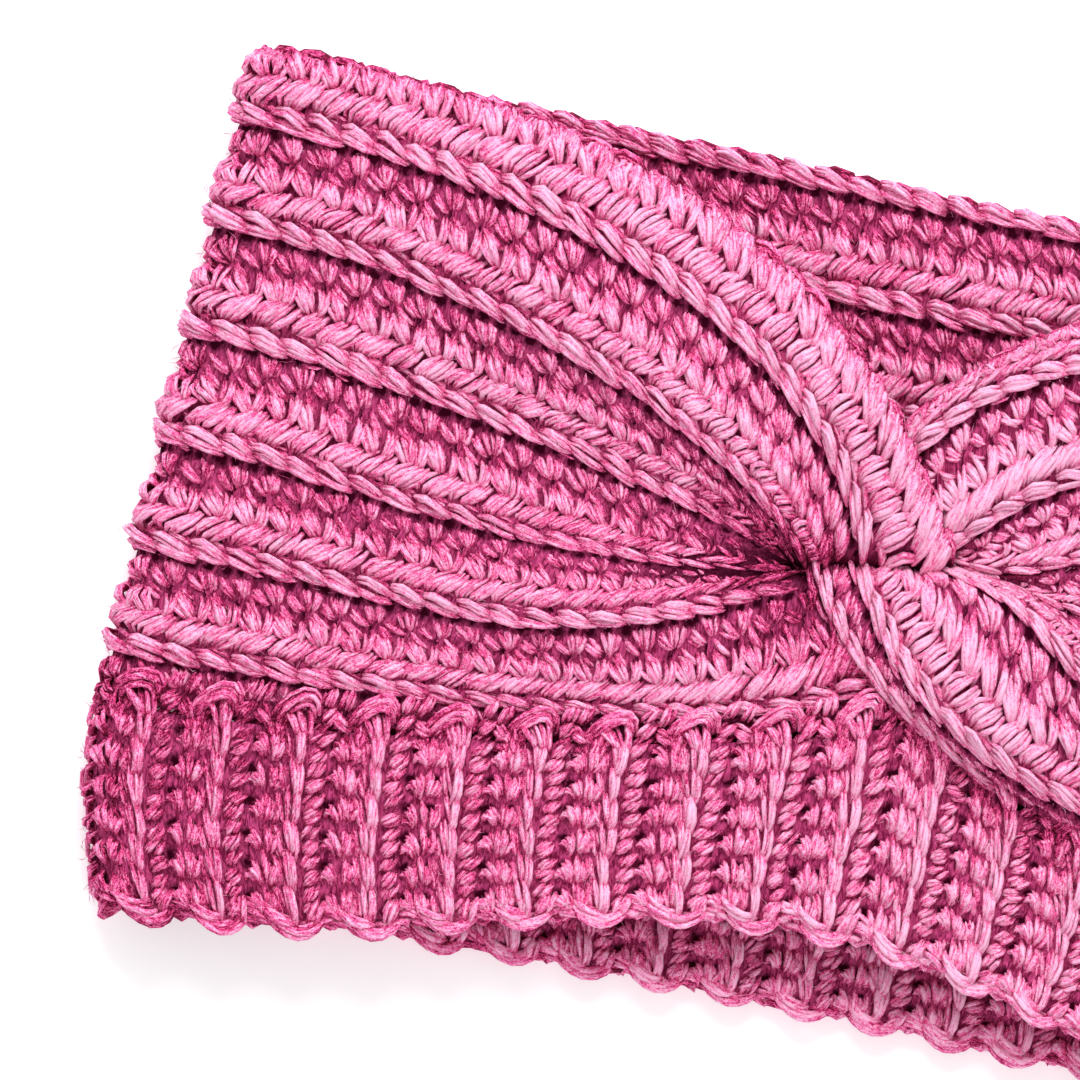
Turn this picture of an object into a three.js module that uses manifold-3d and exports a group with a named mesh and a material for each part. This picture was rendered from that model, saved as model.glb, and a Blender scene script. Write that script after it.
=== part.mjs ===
// A crochet ear warmer, folded flat and lying on its back. A band of lengthwise ribs goes once
// round the head, and its two ends are folded into each other at the front, which makes a twist.
// A cuff of short upright ribs is worked on along the band's lower edge.
//
// Millimetres. X runs along the flattened band, Y from the cuff up to the top edge, Z upward.

import * as THREE from "three";
import Module from "manifold-3d";
import { mergeVertices } from "three/addons/utils/BufferGeometryUtils.js";

const wasm = await Module();
wasm.setup();

// Driving dimensions
const WALL = 5.0; // crocheted fabric, between its ridges
const RELIEF = 0.7; // how far a rib stands out from the middle of the fabric
const HOLLOW = 7.4; // free height between the back and the front where they lie flat
const BAND_TOP = 74.8; // top edge of the back, above the middle of the band and cuff
const BAND_BOTTOM = -36; // where the cuff begins on the back and at the folds
const CUFF_BOTTOM_BACK = -68.5;
const CUFF_BOTTOM_FOLD = -74;
const CUFF_PULL_UP = 19; // how far the twist draws the front of the cuff up
const HALF_WIDTH_TOP = 124; // outer edge of a side fold at the top edge
const HALF_WIDTH_JOIN = 128; // and where the cuff begins
const CUFF_TAPER = 0.065; // share of its width that the cuff loses towards its lower edge
const BAND_RIBS = 6;
const CUFF_RIBS = 38;
const SEAM_GAP = 0.3; // free space between band and cuff

// Worked out from them
const BACK_Z = WALL / 2 + RELIEF; // middle of the fabric that lies on the table
const FRONT_Z = BACK_Z + WALL + HOLLOW; // middle of the fabric on top, beside the twist
const FOLD_RADIUS = (FRONT_Z - BACK_Z) / 2;
const FOLD_Z = (FRONT_Z + BACK_Z) / 2;
const EDGE_ROUND = 0.3 * WALL; // how far a worked edge bulges past its last row

// Row lines of the two front panels. Each is a cubic curve: it leaves the side fold level at
// startY, runs straight for about leave, and bends through turn to end in the twist. at is the
// place across the band, 0 at the top edge and 1 at the cuff.
const LEFT_ROWS = [
  { at: 0.0, startY: 76.0, leave: 60, turn: [-12, 61, 26], end: [12.5, 12.4, 16] },
  { at: 0.083, startY: 65.8, leave: 23, turn: [-17, 59, 31], end: [-1.0, 10.4, 14.5] },
  { at: 0.25, startY: 47.3, leave: 32, turn: [-32, 34, 29], end: [-11.5, 8.6, 14.5] },
  { at: 0.417, startY: 28.3, leave: 29, turn: [-28, 17, 14.5], end: [-14.0, 8.4, 15] },
  { at: 0.583, startY: 9.2, leave: 20, turn: [-56, 0, 16], end: [-13.5, 7.4, 16] },
  { at: 0.75, startY: -9.4, leave: 64, turn: [-57, -15, 20], end: [-11.5, 6.2, 16.5] },
  { at: 0.917, startY: -27.4, leave: 24, turn: [-2, -25, 15], end: [6.0, -4.0, 15] },
  { at: 1.0, startY: -36.0, leave: 20, turn: [-22, -26, 15], end: [11.0, -12.5, 15] },
];
const RIGHT_ROWS = [
  { at: 0.0, startY: 76.0, leave: 70, turn: [9, 55, 15], end: [-4.0, 27.0, 15] },
  { at: 0.083, startY: 65.8, leave: 76, turn: [9, 50, 15], end: [-4.0, 22.0, 15] },
  { at: 0.25, startY: 47.3, leave: 75, turn: [27, 33, 18], end: [11.0, 16.5, 15.5] },
  { at: 0.417, startY: 28.3, leave: 100, turn: [38, 12, 16], end: [13.0, 14.6, 15.5] },
  { at: 0.583, startY: 9.2, leave: 100, turn: [42, 10, 14.5], end: [13.5, 13.8, 15] },
  { at: 0.75, startY: -9.4, leave: 105, turn: [47, 8, 29], end: [11.0, 12.8, 16] },
  { at: 0.917, startY: -27.4, leave: 94, turn: [12.5, -15.5, 31], end: [-3.5, 11.2, 14.5] },
  { at: 1.0, startY: -36.0, leave: 80, turn: [-2, -12, 20], end: [-10.0, 10.2, 16] },
];

const foldStart = (halfWidth) => halfWidth - FOLD_RADIUS - WALL / 2 - RELIEF;
const STRAIGHT = 2 * foldStart(HALF_WIDTH_JOIN); // one flat side of the cuff
const ARC = Math.PI * FOLD_RADIUS; // fabric round one side fold
const LOOP = 2 * (STRAIGHT + ARC); // once round the head, along the middle of the fabric

// Numbers of steps
const BACK_STEPS = 4;
const FOLD_STEPS = 6;
const FRONT_STEPS = 14;
const CUFF_ROWS = 4;
const CUFF_FOLD_STEPS = 8;
const NEAREST_STOPS = 0.8; // millimetres between two stations of the cuff

const mix = (a, b, share) => a + (b - a) * share;
const clamp01 = (x) => Math.min(1, Math.max(0, x));

// Smooth value at x through the points (xs[i], ys[i]).
function through(xs, ys, x) {
  const slope = (i) => {
    const low = Math.max(0, i - 1);
    const high = Math.min(xs.length - 1, i + 1);
    return (ys[high] - ys[low]) / (xs[high] - xs[low]);
  };
  let i = 0;
  while (i < xs.length - 2 && x > xs[i + 1]) i++;
  const width = xs[i + 1] - xs[i];
  const u = (x - xs[i]) / width;
  const rise = ys[i + 1] - ys[i];
  const a = slope(i) * width - rise;
  const b = rise - slope(i + 1) * width;
  return mix(ys[i], ys[i + 1], u) + u * (1 - u) * (a * (1 - u) + b * u);
}

// One number of the row table, read between its rows.
const column = (rows, read, at) => through(rows.map((r) => r.at), rows.map(read), at);

// Control points of the row line at a place across one front panel. side is -1 left, 1 right.
function rowLine(side, at) {
  const rows = side < 0 ? LEFT_ROWS : RIGHT_ROWS;
  const startX = side * foldStart(mix(HALF_WIDTH_TOP, HALF_WIDTH_JOIN, at));
  const startY = column(rows, (r) => r.startY, at);
  const leave = column(rows, (r) => r.leave, at);
  const point = (key) => new THREE.Vector3(...[0, 1, 2].map((k) => column(rows, (r) => r[key][k], at)));
  return new THREE.CubicBezierCurve3(
    new THREE.Vector3(startX, startY, FRONT_Z),
    new THREE.Vector3(startX - side * leave, startY, FRONT_Z),
    point("turn"),
    point("end"),
  );
}

// Middle of the band's fabric on one side. along is -2 at the middle of the back, -1 to 0 round
// the side fold, and 1 in the twist.
function bandMiddle(side, along, at) {
  const line = rowLine(side, at);
  const start = line.v0;
  if (along > 0) return line.getPoint(along);
  if (along > -1) {
    const turn = Math.PI * (along + 1);
    return new THREE.Vector3(
      start.x + side * FOLD_RADIUS * Math.sin(turn),
      start.y,
      FOLD_Z - FOLD_RADIUS * Math.cos(turn),
    );
  }
  const out = along + 2;
  const backY = mix(BAND_TOP, BAND_BOTTOM, at);
  return new THREE.Vector3(start.x * out, mix(backY, start.y, out * out), BACK_Z);
}

// Direction out of the hollow, square to a surface middle(along, at). It turns upright where the
// rows crowd together in the twist.
function outward(middle, side, along, at, upright) {
  const step = 0.004;
  const low = Math.max(0, at - step);
  const high = Math.min(1, at + step);
  const across = middle(side, along, high).sub(middle(side, along, low));
  const further = middle(side, along + step, at).sub(middle(side, along - step, at));
  const normal = across.cross(further).multiplyScalar(-side).normalize();
  return normal.lerp(new THREE.Vector3(0, 0, 1), upright).normalize();
}

// Corrugation of ribbed fabric: 1 on a rib, -1 between two ribs, flat for a while on each.
const ribWave = (phase) => THREE.MathUtils.clamp(2 * Math.cos(2 * Math.PI * phase), -1, 1);

// Places where a ribbed edge changes slope, from 0 to 1.
function ribStops(ribs) {
  const flat = 1 / 6;
  const stops = [0];
  for (let rib = 0; rib < ribs; rib++) {
    for (const phase of [flat, 0.5 - flat, 0.5 + flat, 1 - flat]) stops.push((rib + phase) / ribs);
  }
  return [...stops, 1];
}

// A solid from rings of points: the same number in each, joined ring to ring. A strip's rings
// start with its outer face and come back along its inner face, and its two ends are closed.
function loft(rings, closed) {
  const count = rings[0].length;
  const positions = rings.flat().flatMap((p) => [p.x, p.y, p.z]);
  const faces = [];
  const quad = (a, b, c, d) => faces.push(a, b, c, a, c, d);
  const last = closed ? rings.length : rings.length - 1;
  for (let r = 0; r < last; r++) {
    const here = r * count;
    const next = ((r + 1) % rings.length) * count;
    for (let i = 0; i < count; i++) {
      const j = (i + 1) % count;
      quad(here + i, next + i, next + j, here + j);
    }
  }
  if (!closed) {
    const end = (rings.length - 1) * count;
    for (let i = 0; i < count / 2 - 1; i++) {
      const i2 = count - 1 - i;
      quad(i, i + 1, i2 - 1, i2);
      quad(end + i, end + i2, end + i2 - 1, end + i + 1);
    }
  }
  const geometry = new THREE.BufferGeometry();
  geometry.setAttribute("position", new THREE.Float32BufferAttribute(positions, 3));
  geometry.setIndex(faces);
  return solidOf(geometry);
}

function solidOf(geometry) {
  const merged = mergeVertices(geometry, 1e-4);
  const make = (triVerts) =>
    new wasm.Manifold(
      new wasm.Mesh({ numProp: 3, vertProperties: merged.attributes.position.array, triVerts }),
    );
  const solid = make(new Uint32Array(merged.index.array));
  return solid.volume() > 0 ? solid : make(new Uint32Array(merged.index.array).reverse());
}

function geometryOf(solid) {
  const mesh = solid.getMesh();
  const geometry = new THREE.BufferGeometry();
  geometry.setAttribute("position", new THREE.Float32BufferAttribute(mesh.vertProperties, 3));
  geometry.setIndex([...mesh.triVerts]);
  geometry.computeVertexNormals();
  return geometry;
}

// Half of the band, from the middle of the back round one side fold into the twist.
function bandHalf(side) {
  const stations = [];
  for (let i = 0; i < BACK_STEPS; i++) stations.push(-2 + i / BACK_STEPS);
  for (let i = 0; i < FOLD_STEPS; i++) stations.push(-1 + i / FOLD_STEPS);
  for (let i = 0; i <= FRONT_STEPS; i++) stations.push(i / FRONT_STEPS);
  const places = ribStops(BAND_RIBS);
  const rings = stations.map((along) => {
    const upright = clamp01(1.6 * along) ** 2;
    const faceAt = (at, face) => {
      const lift = face * (WALL / 2) + RELIEF * ribWave(at * BAND_RIBS + 0.5);
      return bandMiddle(side, along, at).addScaledVector(outward(bandMiddle, side, along, at, upright), lift);
    };
    const edge = (at) => {
      const inside = bandMiddle(side, along, mix(at, 0.5, 0.02));
      const rim = bandMiddle(side, along, at);
      return rim.add(rim.clone().sub(inside).setLength(EDGE_ROUND));
    };
    const outer = places.map((at) => faceAt(at, 1));
    const inner = places.map((at) => faceAt(at, -1)).reverse();
    return [edge(0), ...outer, edge(1), ...inner];
  });
  return loft(rings, false);
}

// Lower edge of the band on the front, as a height for each x.
function joinHeight(x) {
  const left = rowLine(-1, 1);
  const right = rowLine(1, 1);
  const heightOn = (line, side) => {
    let low = 0;
    let high = 1;
    for (let i = 0; i < 30; i++) {
      const u = (low + high) / 2;
      if (side * (line.getPoint(u).x - x) > 0) low = u;
      else high = u;
    }
    return line.getPoint(low).y;
  };
  const onLeft = x < left.v3.x ? heightOn(left, -1) : left.v3.y;
  const onRight = x > right.v3.x ? heightOn(right, 1) : right.v3.y;
  return Math.min(onLeft, onRight);
}

// A place round the flattened cuff: round is 0 to 1 from the left fold over the front, the right
// fold and the back. It gives x, z, the direction out of the hollow, and how the rows lie.
function cuffPlace(round) {
  const way = round * LOOP;
  const onFold = (turn, side) => ({
    x: side * (STRAIGHT / 2 + FOLD_RADIUS * Math.sin(turn)),
    z: FOLD_Z - FOLD_RADIUS * Math.cos(turn),
    out: new THREE.Vector3(side * Math.sin(turn), 0, -Math.cos(turn)),
    front: 0,
    back: turn < Math.PI / 2 ? 1 - Math.sin(turn) : 0,
  });
  if (way < ARC) return onFold((Math.PI * way) / ARC, -1);
  if (way < ARC + STRAIGHT) {
    const x = way - ARC - STRAIGHT / 2;
    return { x, z: FRONT_Z, out: new THREE.Vector3(0, 0, 1), front: 1, back: 0 };
  }
  if (way < 2 * ARC + STRAIGHT) return onFold(Math.PI * (1 - (way - ARC - STRAIGHT) / ARC), 1);
  const x = STRAIGHT / 2 - (way - 2 * ARC - STRAIGHT);
  return { x, z: BACK_Z, out: new THREE.Vector3(0, 0, -1), front: 0, back: 1 };
}

// Share of the twist's upward pull that reaches x along the front.
const pull = (x) => Math.cos((Math.PI / 2) * clamp01(Math.abs(x) / (STRAIGHT / 2))) ** 2;

// Stations round the cuff: where its ribs change slope, and even steps round each side fold.
function cuffStops() {
  const stops = ribStops(CUFF_RIBS).slice(1, -1);
  for (let i = 0; i <= CUFF_FOLD_STEPS; i++) {
    const left = (i / CUFF_FOLD_STEPS) * (ARC / LOOP);
    stops.push(left, 0.5 + left);
  }
  stops.sort((a, b) => a - b);
  return stops.filter((stop, i) => i === 0 || (stop - stops[i - 1]) * LOOP > NEAREST_STOPS);
}

// The cuff: a loop of short upright ribs below the band.
function cuffLoop() {
  const rings = cuffStops().map((round) => {
    const place = cuffPlace(round);
    const top = (place.front ? joinHeight(place.x) : BAND_BOTTOM) - SEAM_GAP - 2 * EDGE_ROUND;
    const frontBottom = CUFF_BOTTOM_FOLD + CUFF_PULL_UP * pull(place.x) * place.front;
    const sag = place.back * pull(place.x) ** 0.25;
    const bottom = mix(frontBottom, CUFF_BOTTOM_BACK, sag);
    const lift = RELIEF * ribWave(round * CUFF_RIBS + 0.5);
    const faceAt = (down, face) => {
      const taper = 1 - CUFF_TAPER * down * down;
      const point = new THREE.Vector3(place.x * taper, mix(top, bottom, down), place.z);
      return point.addScaledVector(place.out, face * (WALL / 2) + lift);
    };
    const edge = (down, way) => faceAt(down, 0).add(new THREE.Vector3(0, way * EDGE_ROUND, 0));
    const downs = Array.from({ length: CUFF_ROWS }, (_, i) => i / (CUFF_ROWS - 1));
    const outer = downs.map((down) => faceAt(down, 1));
    const inner = downs.map((down) => faceAt(down, -1)).reverse();
    return [edge(0, 1), ...outer, edge(1, -1), ...inner];
  });
  return loft(rings, true);
}

const yarn = new THREE.MeshStandardMaterial({ color: 0xdc6aa2, roughness: 0.95, metalness: 0 });

function piece(name, solid) {
  const mesh = new THREE.Mesh(geometryOf(solid), yarn);
  mesh.name = name;
  return mesh;
}

const earWarmer = new THREE.Group();
earWarmer.add(piece("band", bandHalf(-1).add(bandHalf(1))));
earWarmer.add(piece("cuff", cuffLoop()));

// The origin is on the table, under the middle of the lying ear warmer.
const box = new THREE.Box3().setFromObject(earWarmer);
const middle = box.getCenter(new THREE.Vector3());
earWarmer.position.set(-middle.x, -middle.y, -box.min.z);

export default earWarmer;
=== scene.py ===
import math

import bmesh
import bpy
import numpy as np
from mathutils import Matrix, Vector


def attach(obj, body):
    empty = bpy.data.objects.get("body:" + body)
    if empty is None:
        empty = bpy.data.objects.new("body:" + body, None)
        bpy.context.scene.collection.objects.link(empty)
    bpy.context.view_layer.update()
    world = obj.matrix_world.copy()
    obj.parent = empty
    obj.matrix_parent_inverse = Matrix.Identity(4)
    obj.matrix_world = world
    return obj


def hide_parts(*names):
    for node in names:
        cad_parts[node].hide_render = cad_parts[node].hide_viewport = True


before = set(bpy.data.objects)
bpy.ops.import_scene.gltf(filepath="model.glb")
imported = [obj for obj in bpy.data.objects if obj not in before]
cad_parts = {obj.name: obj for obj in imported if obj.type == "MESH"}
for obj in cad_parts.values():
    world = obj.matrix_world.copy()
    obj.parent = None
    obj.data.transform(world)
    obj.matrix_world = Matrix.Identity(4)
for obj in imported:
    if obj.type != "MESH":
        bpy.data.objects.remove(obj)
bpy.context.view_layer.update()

# The yarn. Four plies of soft acrylic, a little fuzzy, laid into every stitch of the ear warmer.
# Each visible bit of a stitch is a fan of a few short bulging plies, thinnest where they dive under
# the next stitch. The plies of a piece are one mesh, mapped along each ply and round it.
MM = 0.001
# How a ply is made: places along it, its thickness there as a share, its sides, and how many of a
# fan's plies are made.
FINE = ([0.0, 0.06, 0.35, 0.65, 0.94, 1.0], [0.0, 0.8, 1.0, 1.0, 0.8, 0.0], 4, 1.0)
CURVED = (
    [0.0, 0.05, 0.2, 0.35, 0.5, 0.65, 0.8, 0.95, 1.0],
    [0.0, 0.8, 0.95, 1.0, 1.0, 1.0, 0.95, 0.8, 0.0],
    5,
    1.0,
)
COARSE = ([0.0, 0.1, 0.5, 0.9, 1.0], [0.0, 0.85, 1.0, 0.85, 0.0], 4, 0.5)
HIDDEN = ([0.0, 0.12, 0.88, 1.0], [0.0, 0.9, 0.9, 0.0], 4, 0.34)
HAIR = ([0.0, 0.5, 1.0], [0.0, 1.0, 0.0], 3, 1.0)
DEEPEST, PROUDEST = -0.6, 4.6  # heights over the middle of the fabric that the colour runs between, from painted shade to painted light
ROUND = 1.0  # painted shade: how much darker a ply's flanks are than its height alone makes them


def node_chain(tree, kind, values, sources):
    """A math node with the operation kind, its inputs from sources, else from values."""
    node = tree.nodes.new("ShaderNodeMath")
    node.operation = kind
    for k, value in enumerate(values):
        node.inputs[k].default_value = value
    for k, source in sources.items():
        tree.links.new(source, node.inputs[k])
    return node.outputs[0]


def yarn_group():
    """Streaks of fibre along the U of the ply's map, slowly turning round it: Streak from -1 to 1,
    Line where two bundles of fibres part, for painted shade in the parting, and Relief for the bump."""
    tree = bpy.data.node_groups.new("fibres of a ply", "ShaderNodeTree")
    for name, value in (("Turns", 0.05), ("Across", 5.0), ("Along", 0.38)):
        made = tree.interface.new_socket(name, in_out="INPUT", socket_type="NodeSocketFloat")
        made.default_value = value
    for name in ("Streak", "Line", "Relief"):
        tree.interface.new_socket(name, in_out="OUTPUT", socket_type="NodeSocketFloat")
    nodes, links = tree.nodes, tree.links
    given, out = nodes.new("NodeGroupInput"), nodes.new("NodeGroupOutput")
    place = nodes.new("ShaderNodeUVMap")
    place.uv_map = "strand"
    parts = nodes.new("ShaderNodeSeparateXYZ")
    links.new(place.outputs["UV"], parts.inputs["Vector"])
    own = nodes.new("ShaderNodeAttribute")
    own.attribute_name = "tone"
    u, v = parts.outputs["X"], parts.outputs["Y"]
    turned = node_chain(tree, "MULTIPLY_ADD", (), {0: u, 1: given.outputs["Turns"], 2: v})
    there = nodes.new("ShaderNodeCombineXYZ")
    links.new(node_chain(tree, "MULTIPLY", (), {0: turned, 1: given.outputs["Across"]}), there.inputs["X"])
    links.new(node_chain(tree, "MULTIPLY", (), {0: u, 1: given.outputs["Along"]}), there.inputs["Y"])
    links.new(node_chain(tree, "MULTIPLY", (0, 91.0), {0: own.outputs["Fac"]}), there.inputs["Z"])

    def fibres(scale, low, high):
        noise = nodes.new("ShaderNodeTexNoise")
        noise.inputs["Scale"].default_value = scale
        noise.inputs["Detail"].default_value = 1.5
        noise.inputs["Distortion"].default_value = 0.6
        links.new(there.outputs[0], noise.inputs["Vector"])
        spread = nodes.new("ShaderNodeMapRange")
        spread.inputs["From Min"].default_value = low
        spread.inputs["From Max"].default_value = high
        spread.inputs["To Min"].default_value = -1
        links.new(noise.outputs["Fac"], spread.inputs["Value"])
        return noise.outputs["Fac"], spread.outputs["Result"]

    thick, thick_streak = fibres(1.0, 0.36, 0.62)
    thin, thin_streak = fibres(2.6, 0.36, 0.62)
    streak = node_chain(tree, "MULTIPLY_ADD", (0, 0.6), {0: thin_streak, 2: thick_streak})
    links.new(streak, out.inputs["Streak"])
    part = node_chain(tree, "ABSOLUTE", (), {0: node_chain(tree, "SUBTRACT", (0, 0.47), {0: thick})})
    line = nodes.new("ShaderNodeMapRange")
    line.inputs["From Max"].default_value = 0.03
    line.inputs["To Min"].default_value = 1
    line.inputs["To Max"].default_value = 0
    links.new(part, line.inputs["Value"])
    links.new(line.outputs["Result"], out.inputs["Line"])
    raised = node_chain(tree, "MULTIPLY_ADD", (0, 0.5), {0: thin, 2: thick})
    links.new(
        node_chain(tree, "MULTIPLY_ADD", (0, -0.12), {0: line.outputs["Result"], 2: raised}),
        out.inputs["Relief"],
    )
    return tree


def yarn_material(name, shades):
    """Yarn whose colour runs through shades from the crevices up to the ridges, as painted shade low down
    and painted light high up.
    """
    material = bpy.data.materials.new(name)
    material.use_nodes = True
    tree = material.node_tree
    nodes, links = tree.nodes, tree.links
    shader = nodes["Principled BSDF"]
    shader.inputs["Roughness"].default_value = 0.9
    shader.inputs["Specular IOR Level"].default_value = 0.15
    yarn = nodes.new("ShaderNodeGroup")
    yarn.node_tree = fibres_of_ply
    # Painted light and shade: the colour follows each point's height, dark in crevices and on flanks, light
    # on ridges.
    height = nodes.new("ShaderNodeAttribute")
    height.attribute_name = "height"
    own = nodes.new("ShaderNodeAttribute")
    own.attribute_name = "tone"
    streaked = node_chain(
        tree, "MULTIPLY_ADD", (0, 0.23), {0: yarn.outputs["Streak"], 2: height.outputs["Fac"]}
    )
    # Painted shade in the partings between bundles of fibres.
    lined = node_chain(tree, "MULTIPLY_ADD", (0, -0.14), {0: yarn.outputs["Line"], 2: streaked})
    toned = node_chain(tree, "MULTIPLY_ADD", (0, 0.19), {0: own.outputs["Fac"], 2: lined})
    where = nodes.new("ShaderNodeTexCoord")
    fuzz = nodes.new("ShaderNodeTexNoise")
    fuzz.inputs["Scale"].default_value = 2300
    fuzz.inputs["Detail"].default_value = 2.0
    fuzz.inputs["Distortion"].default_value = 1.4
    links.new(where.outputs["Object"], fuzz.inputs["Vector"])
    speckle = nodes.new("ShaderNodeMapRange")
    speckle.inputs["From Min"].default_value = 0.36
    speckle.inputs["From Max"].default_value = 0.64
    speckle.inputs["To Min"].default_value = -1
    links.new(fuzz.outputs["Fac"], speckle.inputs["Value"])
    toned = node_chain(tree, "MULTIPLY_ADD", (0, 0.27), {0: speckle.outputs["Result"], 2: toned})
    shade = nodes.new("ShaderNodeValToRGB")
    stops = shade.color_ramp.elements
    stops[0].position, stops[0].color = shades[0][0], (*shades[0][1], 1)
    stops[1].position, stops[1].color = shades[-1][0], (*shades[-1][1], 1)
    for position, colour in shades[1:-1]:
        stops.new(position).color = (*colour, 1)
    links.new(toned, shade.inputs["Fac"])
    links.new(shade.outputs["Color"], shader.inputs["Base Color"])
    bump = nodes.new("ShaderNodeBump")
    bump.inputs["Strength"].default_value = 0.7
    bump.inputs["Distance"].default_value = 0.0004
    raised = node_chain(tree, "MULTIPLY_ADD", (0, 0.8), {0: fuzz.outputs["Fac"], 2: yarn.outputs["Relief"]})
    links.new(raised, bump.inputs["Height"])
    links.new(bump.outputs["Normal"], shader.inputs["Normal"])
    return material


fibres_of_ply = yarn_group()
pink_yarn = yarn_material(
    "pink yarn",
    [
        (0.04, (0.12, 0.003, 0.024)),
        (0.25, (0.53, 0.022, 0.135)),
        (0.48, (0.88, 0.105, 0.335)),
        (0.74, (0.97, 0.27, 0.53)),
        (1.00, (0.99, 0.51, 0.72)),
    ],
)


def along_curve(points, shares):
    """Places at shares of the smooth curve through points, an array of ply, point, value."""
    knots = points.shape[1]
    places = np.array(shares) * (knots - 1)
    first = np.clip(places.astype(int), 0, knots - 2)
    u = (places - first)[None, :, None]
    before = points[:, np.maximum(first - 1, 0)]
    here, there = points[:, first], points[:, first + 1]
    after = points[:, np.minimum(first + 2, knots - 1)]
    leaving, arriving = (there - before) / 2, (after - here) / 2
    rise = there - here
    bend = (leaving - rise) * (1 - u) + (rise - arriving) * u
    return here + rise * u + u * (1 - u) * bend


def plies_object(name, lines, outs, radii, heights, tones, form):
    """One mesh of bulging plies. lines is ply, point, xyz in millimetres, outs the direction out
    of the fabric there, heights the height of each point over the fabric's middle, with painted light
    and shade added, which its colour follows."""
    swell, sides = np.array(form[1]), form[2]
    count, points, _ = lines.shape
    way = np.gradient(lines, axis=1)
    way /= np.maximum(np.linalg.norm(way, axis=2, keepdims=True), 1e-9)
    aside = np.cross(way, outs)
    aside /= np.maximum(np.linalg.norm(aside, axis=2, keepdims=True), 1e-9)
    up = np.cross(aside, way)
    rings = points - 2
    angles = (np.arange(sides) + (sides % 2) / 2) * 2 * math.pi / sides - math.pi / 2
    size = (radii[:, None] * swell[None, 1:-1])[:, :, None]
    upward = size * np.sin(angles)
    ring = (
        lines[:, 1:-1, None]
        + (size * np.cos(angles))[..., None] * aside[:, 1:-1, None]
        + upward[..., None] * up[:, 1:-1, None]
    )
    per = rings * sides + 2
    verts = np.concatenate([ring.reshape(count, -1, 3), lines[:, :1], lines[:, -1:]], axis=1)
    height = np.concatenate(
        [(heights[:, 1:-1, None] + ROUND * upward).reshape(count, -1), heights[:, :1], heights[:, -1:]],
        axis=1,
    )
    steps = np.linalg.norm(np.diff(lines, axis=1), axis=2)
    length = np.concatenate([np.zeros((count, 1)), np.cumsum(steps, axis=1)], axis=1)
    quads, quad_map, tips, tip_map = [], [], [], []
    for i in range(sides):
        j = (i + 1) % sides
        for r in range(rings - 1):
            a, b = r * sides, (r + 1) * sides
            quads.append((a + i, a + j, b + j, b + i))
            quad_map.append(((r + 1, i), (r + 1, i + 1), (r + 2, i + 1), (r + 2, i)))
        last = (rings - 1) * sides
        tips.append((i, per - 2, j))
        tip_map.append(((1, i), (0, i + 0.5), (1, i + 1)))
        tips.append((last + i, last + j, per - 1))
        tip_map.append(((rings, i), (rings, i + 1), (rings + 1, i + 0.5)))
    starts = (np.arange(count) * per)[:, None, None]
    corners = [(starts + np.array(f)[None]).reshape(-1) for f in (quads, tips) if f]
    maps = []
    for table in (t for t in (quad_map, tip_map) if t):
        table = np.array(table)
        u = length[:, table[..., 0].astype(int)]
        v = np.broadcast_to(table[..., 1] / sides, u.shape)
        maps.append(np.stack([u, v], axis=-1).reshape(-1))
    mesh = bpy.data.meshes.new(name)
    verts = (verts.reshape(-1, 3) - np.array([0, MIDDLE_Y, 0])) * MM
    verts[:, 2] = np.maximum(verts[:, 2], LIFT * MM)
    mesh.vertices.add(count * per)
    mesh.vertices.foreach_set("co", verts.ravel())
    loops = np.concatenate(corners)
    mesh.loops.add(len(loops))
    mesh.loops.foreach_set("vertex_index", loops.astype(np.int32))
    totals = np.repeat([4, 3], [count * len(quads), count * len(tips)]).astype(np.int32)
    mesh.polygons.add(len(totals))
    begin = np.concatenate([[0], np.cumsum(totals)[:-1]]).astype(np.int32)
    mesh.polygons.foreach_set("loop_start", begin)
    mesh.polygons.foreach_set("loop_total", totals)
    mesh.polygons.foreach_set("use_smooth", np.ones(len(totals), bool))
    layer = mesh.uv_layers.new(name="strand")
    layer.data.foreach_set("uv", np.concatenate(maps).astype(np.float32))
    # Painted light and shade: the height share sets the colour, dark low down and on the flanks, light on
    # the ridges.
    shares = np.clip((height.ravel() - DEEPEST) / (PROUDEST - DEEPEST), 0, 1)
    attribute = mesh.attributes.new("height", "FLOAT", "POINT")
    attribute.data.foreach_set("value", shares.astype(np.float32))
    attribute = mesh.attributes.new("tone", "FLOAT", "POINT")
    attribute.data.foreach_set("value", np.repeat(tones, per).astype(np.float32))
    mesh.update(calc_edges=True)
    piece = bpy.data.objects.new(name, mesh)
    bpy.context.collection.objects.link(piece)
    mesh.materials.append(pink_yarn)
    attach(piece, "root")
    return piece


# The band's fabric. It lies flat on its back, and its two ends run into the twist at the front.
# Lines of stitches run lengthwise: level on the back and round the side folds, and along a curve
# of their own on each front panel. The sizes are those of the solid, in millimetres.
WALL = 5.0
RELIEF = 0.7
HOLLOW = 7.4
BAND_TOP, BAND_BOTTOM = 74.8, -36.0
HALF_WIDTH_TOP, HALF_WIDTH_JOIN = 124.0, 128.0
BAND_RIBS = 6
BACK_Z = WALL / 2 + RELIEF
FRONT_Z = BACK_Z + WALL + HOLLOW
FOLD_RADIUS = (FRONT_Z - BACK_Z) / 2
FOLD_Z = (FRONT_Z + BACK_Z) / 2
BAND_DEEP = BAND_TOP - BAND_BOTTOM
RIB = BAND_DEEP / BAND_RIBS
MIDDLE_Y = 0.9996  # the middle of the lying ear warmer's outline
LIFT = 0.02  # the lowest yarn over the table
ROW_COLUMNS = "across start_y leave turn_x turn_y turn_z end_x end_y end_z".split()
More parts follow.
